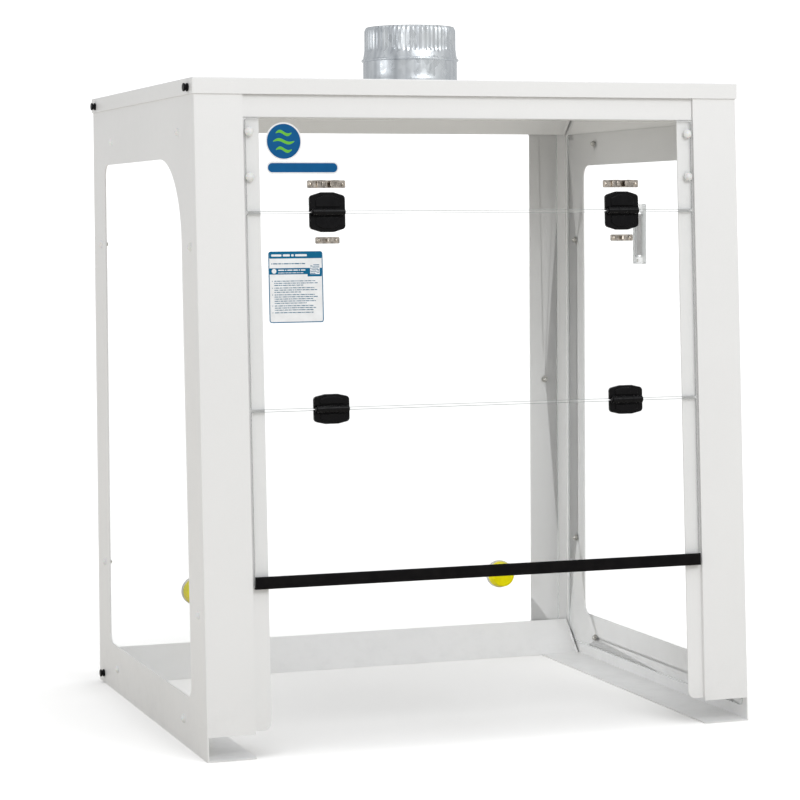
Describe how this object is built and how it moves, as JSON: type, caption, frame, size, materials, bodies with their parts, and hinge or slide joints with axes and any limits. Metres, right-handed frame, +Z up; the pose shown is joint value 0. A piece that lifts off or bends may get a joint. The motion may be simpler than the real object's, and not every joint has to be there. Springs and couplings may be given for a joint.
{
  "type": "ducted fume hood",
  "caption": "Bench-top ducted fume hood with clear windows, a folding three-piece front sash and a round duct collar on the roof.",
  "frame": {"origin": "on the bench, under the middle of the hood's overall box", "axes": "+Z up, the sash faces -Y, +X to the right seen from the front"},
  "size_m": [0.911, 0.742, 1.118],
  "materials": {
    "white_powder_coat": "satin powder coat",
    "clear_window": "clear, polished",
    "clear_sash": "clear, polished",
    "clear_block": "clear, polished",
    "grey_vane": "matt",
    "galvanised_steel": "spangled zinc",
    "white_cap_plastic": "semi-gloss",
    "zinc_fastener": "bright zinc",
    "black_bumper": "satin",
    "black_trim": "satin",
    "black_hinge_plastic": "satin",
    "nickel_steel": "bright nickel",
    "yellow_plastic": "semi-gloss",
    "white_ring_plastic": "semi-gloss",
    "badge_sticker": "satin vinyl",
    "label_sticker": "satin vinyl"
  },
  "bodies": {
    "cabinet": {"airflow_fasteners": "zinc_fastener", "airflow_housing": "clear_block", "back_panel": "white_powder_coat", "back_window": "clear_window", "badge": "badge_sticker", "catch_base_left": "nickel_steel", "catch_base_right": "nickel_steel", "catch_pins_and_screws": "nickel_steel", "collar_ring": "galvanised_steel", "collar_rivets": "zinc_fastener", "corner_bumpers": "black_bumper", "duct_collar": "galvanised_steel", "front_fascia": "white_powder_coat", "hinge_nuts_top": "zinc_fastener", "port_ring_left": "white_ring_plastic", "port_ring_right": "white_ring_plastic", "rear_header_strip": "white_powder_coat", "rear_sill_strip": "white_powder_coat", "roof_panel": "white_powder_coat", "sash_bolts": "zinc_fastener", "sash_nuts": "zinc_fastener", "sash_screw_caps": "white_cap_plastic", "sash_top_panel": "clear_sash", "side_panel_left": "white_powder_coat", "side_panel_right": "white_powder_coat", "side_window_left": "clear_window", "side_window_right": "clear_window", "upper_hinge_fixed_leaf_left": "black_hinge_plastic", "upper_hinge_fixed_leaf_right": "black_hinge_plastic", "upper_hinge_pins": "zinc_fastener", "window_bolts": "zinc_fastener", "window_nuts": "zinc_fastener", "window_screw_caps": "white_cap_plastic"},
    "sash_middle": {"sash_middle_panel": "clear_sash", "upper_hinge_moving_leaf_left": "black_hinge_plastic", "upper_hinge_moving_leaf_right": "black_hinge_plastic", "lower_hinge_fixed_leaf_left": "black_hinge_plastic", "lower_hinge_fixed_leaf_right": "black_hinge_plastic", "lower_hinge_pins": "zinc_fastener", "strike_plate_left": "nickel_steel", "strike_plate_right": "nickel_steel", "strike_screws": "nickel_steel", "instruction_label": "label_sticker", "hinge_nuts_middle": "zinc_fastener"},
    "sash_lower": {"sash_lower_panel": "clear_sash", "lower_hinge_moving_leaf_left": "black_hinge_plastic", "lower_hinge_moving_leaf_right": "black_hinge_plastic", "sash_edge_trim": "black_trim", "hinge_nuts_lower": "zinc_fastener"},
    "port_plug_left": {"port_plug_left": "yellow_plastic"},
    "port_plug_right": {"port_plug_right": "yellow_plastic"},
    "airflow_vane": {"airflow_vane": "grey_vane"},
    "catch_inner_arm_left": {"catch_inner_arm_left": "nickel_steel"},
    "catch_inner_roller_left": {"catch_inner_roller_left": "nickel_steel"},
    "catch_outer_arm_left": {"catch_outer_arm_left": "nickel_steel"},
    "catch_outer_roller_left": {"catch_outer_roller_left": "nickel_steel"},
    "catch_inner_arm_right": {"catch_inner_arm_right": "nickel_steel"},
    "catch_inner_roller_right": {"catch_inner_roller_right": "nickel_steel"},
    "catch_outer_arm_right": {"catch_outer_arm_right": "nickel_steel"},
    "catch_outer_roller_right": {"catch_outer_roller_right": "nickel_steel"}
  },
  "joints": [
    {"name": "sash_upper_hinge", "type": "hinge", "parent": "cabinet", "child": "sash_middle", "pos_m": [0, -0.34142, 0.8148], "axis": [-1, 0, 0], "range_deg": [0, 180]},
    {"name": "sash_lower_hinge", "type": "hinge", "parent": "sash_middle", "child": "sash_lower", "pos_m": [0, -0.35482, 0.5188], "axis": [-1, 0, 0], "range_deg": [0, 80]},
    {"name": "port_plug_left_pull", "type": "slide", "parent": "cabinet", "child": "port_plug_left", "axis": [0, -1, 0], "range_m": [0, 0.06]},
    {"name": "port_plug_right_pull", "type": "slide", "parent": "cabinet", "child": "port_plug_right", "axis": [0, -1, 0], "range_m": [0, 0.06]},
    {"name": "airflow_vane_swing", "type": "hinge", "parent": "cabinet", "child": "airflow_vane", "pos_m": [0.436, 0.0205, 0.808], "axis": [0, 1, 0], "range_deg": [0, 55]},
    {"name": "catch_inner_arm_left_spring", "type": "hinge", "parent": "cabinet", "child": "catch_inner_arm_left", "pos_m": [-0.2285, -0.33591, 0.85689], "axis": [0, 0.0452, 0.999], "range_deg": [0, 12], "stiffness_Nm_per_rad": 0.02, "springref_deg": -5.73},
    {"name": "catch_inner_roller_left_spin", "type": "hinge", "parent": "catch_inner_arm_left", "child": "catch_inner_roller_left", "pos_m": [-0.2356, -0.3401, 0.85708], "axis": [0, 0.0452, 0.999], "continuous": true},
    {"name": "catch_outer_arm_left_spring", "type": "hinge", "parent": "cabinet", "child": "catch_outer_arm_left", "pos_m": [-0.2555, -0.33591, 0.85689], "axis": [0, -0.0452, -0.999], "range_deg": [0, 12], "stiffness_Nm_per_rad": 0.02, "springref_deg": -5.73},
    {"name": "catch_outer_roller_left_spin", "type": "hinge", "parent": "catch_outer_arm_left", "child": "catch_outer_roller_left", "pos_m": [-0.2484, -0.3401, 0.85708], "axis": [0, 0.0452, 0.999], "continuous": true},
    {"name": "catch_inner_arm_right_spring", "type": "hinge", "parent": "cabinet", "child": "catch_inner_arm_right", "pos_m": [0.2285, -0.33591, 0.85689], "axis": [0, -0.0452, -0.999], "range_deg": [0, 12], "stiffness_Nm_per_rad": 0.02, "springref_deg": -5.73},
    {"name": "catch_inner_roller_right_spin", "type": "hinge", "parent": "catch_inner_arm_right", "child": "catch_inner_roller_right", "pos_m": [0.2356, -0.3401, 0.85708], "axis": [0, 0.0452, 0.999], "continuous": true},
    {"name": "catch_outer_arm_right_spring", "type": "hinge", "parent": "cabinet", "child": "catch_outer_arm_right", "pos_m": [0.2555, -0.33591, 0.85689], "axis": [0, 0.0452, 0.999], "range_deg": [0, 12], "stiffness_Nm_per_rad": 0.02, "springref_deg": -5.73},
    {"name": "catch_outer_roller_right_spin", "type": "hinge", "parent": "catch_outer_arm_right", "child": "catch_outer_roller_right", "pos_m": [0.2484, -0.3401, 0.85708], "axis": [0, 0.0452, 0.999], "continuous": true}
  ]
}
